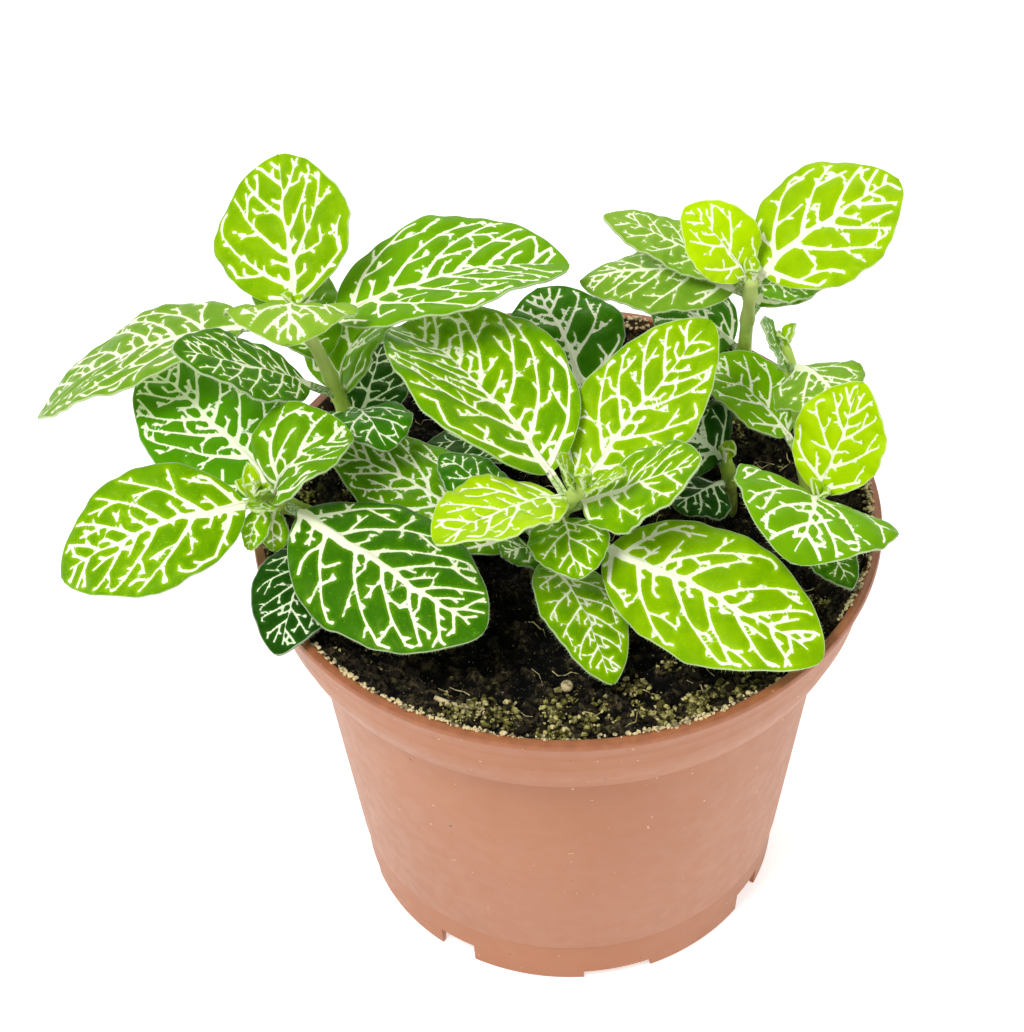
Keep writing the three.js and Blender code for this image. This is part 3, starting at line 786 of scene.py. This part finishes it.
    def spurs(self):
        """Short tapering spurs stand out from every vein, now on one side and now on the other."""
        sign = 1
        for x0, y0, x1, y1, _, radius, _, _ in self.rows[: self.count].copy():
            if self.random.random() > 0.08 or x1 < 0.5:
                continue
            sign = -sign
            heading = math.atan2(y1 - y0, x1 - x0) + sign * self.random.uniform(0.8, 1.2)
            long = self.random.uniform(0.5, 1.2) * self.size + radius
            ex, ey = x1 + long * math.cos(heading), y1 + long * math.sin(heading)
            rows = self.rows[: self.count]
            gaps = np.hypot((rows[:, 0] + rows[:, 2]) / 2 - ex, (rows[:, 1] + rows[:, 3]) / 2 - ey)
            if self.margin(ex, ey) < 0.9 or gaps.min() < 0.85:
                continue
            middle, wide = ((x1 + ex) / 2 + 0.1, (y1 + ey) / 2), min(0.3, radius)
            self.put((x1, y1), middle, wide, wide * 0.85, 3, -1)
            self.put(middle, (ex, ey), wide * 0.85, 0.2 * self.size, 3, -1)

    def distance_to(self, rows, points):
        """Distance of each point from the edge of the nearest stroke, below zero inside it."""
        best = np.full(len(points), self.FAR)
        for start in range(0, len(rows), 60):
            part = rows[start : start + 60]
            a, b = part[None, :, 0:2], part[None, :, 2:4]
            span = b - a
            t = ((points[:, None] - a) * span).sum(-1) / np.maximum((span**2).sum(-1), 1e-9)
            t = np.clip(t, 0, 1)
            gap = np.linalg.norm(points[:, None] - a - span * t[..., None], axis=-1)
            best = np.minimum(best, (gap - part[:, 4] * (1 - t) - part[:, 5] * t).min(1))
        return best

    def distance(self, points, levels):
        rows = self.rows[: self.count]
        return self.distance_to(rows[rows[:, 6] < levels], points)


print("vein growth ready")

# %% [markdown]
# ## Leaf blades
# Each blade starts as a fine flat grid. Its points are moved onto the bent blade, pushed up between the
# veins as the living leaf is, and waved along the margin. Solidify gives it a thickness, more under the
# midrib than elsewhere, which a weight on every point controls.

# %% Bend a grid into a leaf
CELL = 0.465  # side of a grid cell in millimetres, finer on small leaves


def split_along_veins(mesh, vein):
    """Cut each quad on the diagonal that follows the vein, so that thin veins keep smooth edges."""
    bm = bmesh.new()
    bm.from_mesh(mesh)
    first, second = [], []
    for face in bm.faces:
        a, b, c, d = (vein[corner.index] for corner in face.verts)
        (first if a + c < b + d else second).append(face)
    bmesh.ops.triangulate(bm, faces=first, quad_method="FIXED")
    bmesh.ops.triangulate(bm, faces=second, quad_method="ALTERNATE")
    bm.to_mesh(mesh)
    bm.free()


def leaf_piece(name, foot, top, spec, index, material):
    root, length, forward, up, side = leaf_frame(foot, top, spec)
    blade_length = length * (1 - spec["stalk"])
    cell = CELL * min(1.0, max(0.6, spec["width"] / 25))
    across_cells = max(8, int(spec["width"] / cell / 2) * 2)
    blade_cells = max(12, int(blade_length / cell))
    stalk_cells = max(2, int(length * spec["stalk"] / 0.8))
    rows = blade_cells + stalk_cells
    # A flat grid, first the rows of the stalk and then those of the blade.
    bm = bmesh.new()
    bmesh.ops.create_grid(bm, x_segments=rows, y_segments=across_cells, size=1)
    mesh = mesh_from(name, bm)
    flat = vertex_places(mesh)
    row = (flat[:, 0] + 1) / 2 * rows
    v = flat[:, 1]
    inner = np.clip((row - stalk_cells) / blade_cells, 0, 1)
    inner = inner - 0.075 * np.sin(2 * np.pi * inner)
    blade = np.where(row < stalk_cells, row / stalk_cells - 1, inner)
    on_stalk, stalk = row < stalk_cells, spec["stalk"]
    t = np.where(on_stalk, stalk * row / stalk_cells, stalk + (1 - stalk) * inner)
    width = half_width(spec, np.where(on_stalk, -1, blade))
    # The outline gets shallow notches that differ from leaf to leaf.
    ripple = np.random.default_rng(500 + index).uniform(0, 6.3, 6)
    on_blade = np.where(on_stalk, 0, np.sqrt(np.maximum(np.sin(np.pi * inner), 0)))
    notch = 0.020 * np.sin(9 * inner + ripple[0] + 2 * (v > 0))
    notch = notch + 0.012 * np.sin(31 * inner + ripple[1] * (v > 0))
    width = width * (1 + notch * on_blade)
    along, sideways = blade_length * np.where(on_stalk, blade * stalk, inner), v * width
    # The veins are grown on the flat outline, and their distance is kept for relief and colour.
    net = VeinNet(spec, blade_length, 100 + index)
    points = np.stack([along, sideways], 1)
    vein = np.where(on_stalk, 0.02, net.distance(points, net.ALL))
    trunk = np.where(on_stalk, -0.5, net.distance(points, net.MAIN))
    jagged = np.sin(3.1 * along + ripple[2]) * np.sin(2.7 * sideways + ripple[3])
    jagged = jagged + np.sin(6.3 * along + 5.1 * sideways)
    vein = vein + (0.025 + 0.035 * jagged) * on_blade
    # Lift above the flat blade: fold, waves of the margin, pillows between the veins, a groove.
    middle = np.abs(sideways)
    lift = math.sin(spec["fold"]) * middle - 0.12 * middle**2 / (spec["width"] / 2)
    phase = (index * 0.37) % 1
    wave = 0.6 * v**2 * np.sin(2 * np.pi * (2.5 * inner + phase + 0.3 * (v > 0))) * on_blade
    crimp = 0.16 * np.abs(v) ** 3 * np.sin(2 * np.pi * 9 * inner + ripple[4]) * on_blade
    quilt = 0.62 * net.size * (1 - np.exp(-np.maximum(trunk, 0) / 0.95)) * on_blade
    quilt = quilt * np.clip((width - middle) / 1.6, 0, 1)
    groove = -0.22 * net.size * np.exp(-((middle / 0.9) ** 2)) * on_blade
    lift = lift + wave * min(1, spec["width"] / 20) + crimp + quilt + groove
    # The whole is laid on the arch of the midrib.
    shift = 1 + spec["lean"] * (2 * t - 1)
    arch = 4 * spec["arch"] * t * (1 - t) * shift
    slope = 4 * spec["arch"] * ((1 - 2 * t) * shift + 2 * spec["lean"] * t * (1 - t))
    tangent = unit(forward[None] * length + up[None] * slope[:, None])
    normal = unit(up[None] - tangent * (tangent @ up)[:, None])
    place = root + forward * length * t[:, None] + up * arch[:, None]
    place = place + side * (sideways * math.cos(spec["fold"]))[:, None] + normal * lift[:, None]
    place[:, 0] += POT_OFFSET
    mesh.vertices.foreach_set("co", (place * MM).ravel())
    store(mesh, "vein_mm", vein)
    store(mesh, "edge_mm", np.where(on_stalk, 2.0, width - middle))
    # Given values are partly painted light; without one, the value follows the height of the tip, as higher
    # leaves are younger.
    youth_and_light = spec["youth_and_light"]
    if youth_and_light is None:
        youth_and_light = float(np.clip((place[int(np.argmax(t)), 2] - 92) / 60, 0, 1))
    store(mesh, "youth_and_light", np.full(len(flat), youth_and_light))
    split_along_veins(mesh, vein)
    piece = finish_mesh(name, mesh, material)
    thick = 0.30 + 0.70 * np.exp(-((middle / 0.8) ** 2)) * (1 - 0.75 * inner)
    group = piece.vertex_groups.new(name="thickness")
    for value in range(30, 101, 5):
        chosen = np.nonzero(np.abs(thick * 100 - value) <= 2.5)[0]
        if len(chosen):
            group.add(chosen.tolist(), value / 100, "REPLACE")
    solid = piece.modifiers.new("blade_thickness", "SOLIDIFY")
    solid.thickness = 1.4 * MM
    solid.offset = -1
    solid.vertex_group = "thickness"
    solid.use_rim = True
    rim = (np.abs(v) > 0.9999) & (row > stalk_cells)
    outward = side[None] * np.sign(v)[:, None] + 0.35 * tangent
    return piece, place[rim], outward[rim], normal[rim]


print("leaf builder ready")

# %% [markdown]
# ## Leaf material
# A leaf is a waxy skin over wet green tissue. Its colour comes from inside, so a little subsurface
# scattering softens it. Young leaves are yellow-green and glow, old ones are deep blue-green, and single
# leaves are painted brighter or darker as painted light. Fine hairs make it look paler at a grazing
# angle, which the sheen stands for.

# %% Leaf materials
leaf_tints = {
    "young": ("#659C00", "#B2D800", "#AEDC00", "#FFFFE6"),
    "grown": ("#367006", "#78B002", "#7CB80A", "#FDFFE2"),
    "pale": ("#6E9C24", "#8CB430", "#A0C648", "#F8FCDC"),
    "dark": ("#2A6A06", "#549606", "#5AA00C", "#FBFEE4"),
    "old": ("#164608", "#28600E", "#367416", "#EAF4D4"),
}


def leaf_material(name, colours):
    low, high, light, cream = [linear(c) for c in colours]
    material, tree, shader = new_material(
        name, Subsurface_Weight=0.1, Subsurface_Scale=0.0006, Sheen_Weight=0.015, Sheen_Roughness=0.4,
        Specular_IOR_Level=0.18,
    )
    shader.inputs["Specular Tint"].default_value = linear("#D8EC70")
    shader.inputs["Subsurface Radius"].default_value = (0.5, 1.0, 0.1)
    shader.inputs["Sheen Tint"].default_value = linear("#C4E46A")
    vein = stored(tree, "vein_mm")
    edge = stored(tree, "edge_mm")
    # Each leaf's stored value makes it brighter and yellower, partly for its youth and partly as painted
    # light.
    youth_and_light = stored(tree, "youth_and_light")
    blotch = ramp(tree, grains(tree, 5, 3), 0.3, 0.7, -0.12, 0.12)
    youth_light_and_blotch = add(tree, "ShaderNodeMath", {0: youth_and_light, 1: blotch}, operation="ADD", use_clamp=True).outputs[0]
    colour = blend(tree, youth_light_and_blotch, low, high)
    colour = blend(tree, ramp(tree, vein, 0.8, 0.0, 0, 0.35), colour, light)
    colour = blend(tree, ramp(tree, grains(tree, 0.5, 2), 0.60, 0.74, 0, 0.4), colour, light)
    colour = blend(tree, ramp(tree, edge, 0.3, 0.05, 0, 0.4), colour, cream)
    uneven = ramp(tree, grains(tree, 0.4, 2), 0.2, 0.8, -0.05, 0.05)
    ragged = add(tree, "ShaderNodeMath", {0: vein, 1: uneven}, operation="ADD").outputs[0]
    on_vein = ramp(tree, ragged, 0.08, -0.06)
    colour = blend(tree, on_vein, colour, cream)
    tree.links.new(colour, shader.inputs["Base Color"])
    tree.links.new(ramp(tree, grains(tree, 1.2, 3), 0.3, 0.7, 0.34, 0.5), shader.inputs["Roughness"])
    bump(tree, shader, grains(tree, 0.32, 2), 0.05, 0.5)
    return material


leaf_materials = {key: leaf_material(f"{key}_leaf_skin", value) for key, value in leaf_tints.items()}
print("leaf materials:", list(leaf_materials))

# %% [markdown]
# ## Stems
# The stems are fleshy and square-shouldered at their nodes, where each pair of leaves joins. They are
# tubes with a slight swelling at every node, and end in a pair of folded leaflets that are still to open.

# %% Stem material and builder
flesh, tree, shader = new_material(
    "fleshy_young_stem", Roughness=0.55, Subsurface_Weight=0.2, Subsurface_Scale=0.001, Sheen_Weight=0.06,
    Specular_IOR_Level=0.2,
)
tall = add(tree, "ShaderNodeSeparateXYZ", {0: own_place(tree)}).outputs["Z"]
colour = blend(tree, ramp(tree, tall, 0.084, 0.100), linear("#5C5E22"), linear("#AECB50"))
colour = blend(tree, ramp(tree, grains(tree, 1.4, 3), 0.4, 0.7, 0, 0.5), colour, linear("#8FB432"))
colour = blend(tree, ramp(tree, tall, 0.106, 0.124, 0, 0.8), colour, linear("#D6E28A"))
tree.links.new(colour, shader.inputs["Base Color"])
bump(tree, shader, grains(tree, 0.4, 3), 0.08, 0.6)


def stem_piece(name, foot, top, specs):
    bm = bmesh.new()
    heights = np.linspace(STEM_BOTTOM, top[2] + 1.2, 34)
    nodes = sorted({round(spec["node"]) for spec in specs})
    path, radii = [], []
    for height in heights:
        path.append(tuple(stem_point(foot, top, height)))
        swell = sum(0.35 * math.exp(-(((height - n) / 1.3) ** 2)) for n in nodes)
        radii.append(stem_radius(top, height) * 0.92 + min(swell, 0.45))
    radii[-1] *= 0.6
    tube(bm, path, radii, 12)
    bmesh.ops.recalc_face_normals(bm, faces=bm.faces)
    return finish_piece(name, bm, flesh, [name])


print("stem builder ready")

# %% [markdown]
# ## Hairs
# Short pale hairs stand along every margin and stem and make the outline look soft. A hair system would
# be lost when the model leaves Blender, so each hair is a real three-sided spike, a fraction of a
# millimetre long, and all hairs of a shoot are one mesh.

# %% Hair builder
hair_look, tree, shader = new_material(
    "leaf_hair", Roughness=0.6, Subsurface_Weight=0.3, Subsurface_Scale=0.0004
)
hair_colour = blend(tree, ramp(tree, grains(tree, 6, 2), 0.35, 0.65), linear("#E4EEC0"), linear("#C9DC8E"))
tree.links.new(hair_colour, shader.inputs["Base Color"])


def hair(bm, root_mm, direction, length_mm, wide_mm):
    """One spike without a base, because its root lies on the leaf or the stem."""
    direction = Vector(direction).normalized()
    centre = Vector(root_mm) * MM + direction * length_mm * MM / 2
    bmesh.ops.create_cone(
        bm, cap_ends=False, segments=3, radius1=wide_mm * MM, radius2=0, depth=length_mm * MM,
        matrix=Matrix.Translation(centre) @ facing(direction),
    )


print("hair builder ready")

# %% [markdown]
# ## The eight shoots
# Now each row of the table becomes a blade on its stem, with hairs along the rim. The growing tip of a
# real shoot ends in folded young leaves, so small upright leaves close every stem.

# %% Build every shoot
shown = 0
for shoot_name, (foot, top, specs) in shoots.items():
    stem_piece(f"{shoot_name}_stem", foot, top, specs)
    fuzz = bmesh.new()
    draw = np.random.default_rng(40 + len(shoot_name))
    for number, spec in enumerate(specs, 1):
        node = f"{shoot_name}_leaf_{number}"
        piece, rim, outward, normal = leaf_piece(
            f"{node}_blade", foot, top, spec, shown, leaf_materials[spec["colour"]]
        )
        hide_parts(node)
        for point, out, up in zip(rim, outward, normal):
            if draw.random() < 0.75:
                lean = out + up * draw.normal(-0.1, 0.35) + draw.normal(0, 0.25, 3)
                hair(fuzz, point, lean, draw.uniform(0.3, 0.75), 0.035)
        shown += 1
    last = math.degrees(specs[0]["heading"]) + 90
    for number in range(4 if shoot_name == "front_left" else 2):
        turned = last + 180 * number + 50 * (number > 1)
        grown = 8.0 - number if shoot_name == "front_left" else 5.0 - number
        folded = leaf(top[2] + 0.6, turned, 62 - 8 * number, grown, 4.2, "young", 0.4, fold=35, youth_and_light=0.7)
        bud_name = f"{shoot_name}_bud_{number + 1}"
        bud = leaf_piece(bud_name, foot, top, folded, shown + 100, leaf_materials["young"])[0]
    for _ in range(int(3.2 * (top[2] - HAIRS_FROM))):
        height = draw.uniform(HAIRS_FROM, top[2])
        angle = draw.uniform(0, 2 * math.pi)
        out = np.array([math.cos(angle), math.sin(angle), draw.normal(0.1, 0.2)])
        start = stem_point(foot, top, height) + out * np.array([1, 1, 0]) * stem_radius(top, height) * 0.85
        hair(fuzz, start + np.array([POT_OFFSET, 0, 0]), out, draw.uniform(0.5, 1.1), 0.04)
    hairs = finish_piece(f"{shoot_name}_hairs", fuzz, hair_look)
    print(shoot_name, "leaves:", len(specs), "hair faces:", len(hairs.data.polygons))

# %% [markdown]
# ## Stage
# The plant stands on a plain pale floor in soft studio light, seen from above the front with a slight
# tilt of the camera. A big soft light up on the left models the leaves and a pale sky fills the rest.

# %% Floor, light and camera
stage_bm = bmesh.new()
bmesh.ops.create_grid(stage_bm, x_segments=1, y_segments=1, size=20.0)
floor = into_scene("floor", mesh_from("floor", stage_bm))
floor.location.z = -0.0002  # just under the pot, so that the two faces don't fight
paper, tree, shader = new_material("white_studio_paper", Roughness=0.9)
shader.inputs["Base Color"].default_value = linear("#F6F6F6")
shader.inputs["Emission Color"].default_value = (1, 1, 1, 1)
shader.inputs["Emission Strength"].default_value = 0.55
floor.data.materials.append(paper)

world = bpy.data.worlds.new("soft_white_sky")
bpy.context.scene.world = world
world.use_nodes = True
world.node_tree.nodes["Background"].inputs["Color"].default_value = (1, 1, 1, 1)
world.node_tree.nodes["Background"].inputs["Strength"].default_value = 0.41


def soft_light(name, place, target, size, power):
    data = bpy.data.lights.new(name, "AREA")
    data.size = size
    data.energy = power
    light = into_scene(name, data)
    light.location = place
    light.rotation_euler = (Vector(target) - Vector(place)).to_track_quat("-Z", "Y").to_euler()


soft_light("key_softbox", (-0.35, -0.40, 0.95), (0, 0, 0.09), 0.36, 7.4)
soft_light("right_fill", (0.9, -0.3, 0.6), (0, 0, 0.08), 0.7, 2.2)
soft_light("back_glow", (0.1, 0.8, 0.7), (0, 0, 0.1), 0.6, 2.8)

# The camera's place and tilt put the rim, the crease and the foot where the photograph shows them.
camera_data = bpy.data.cameras.new("view")
camera_data.lens = 85
camera_data.sensor_width = 36
camera = into_scene("view", camera_data)
camera.location = (0.00949, -0.3350, 0.4162)
looks_down, leans = math.radians(44.22), math.radians(-1.77)
aim = Matrix.Rotation(math.pi / 2 - looks_down, 3, "X") @ Matrix.Rotation(leans, 3, "Z")
camera.rotation_euler = aim.to_euler()
bpy.context.scene.camera = camera
bpy.context.scene.view_settings.view_transform = "Standard"
print("camera at", tuple(round(c, 4) for c in camera.location))
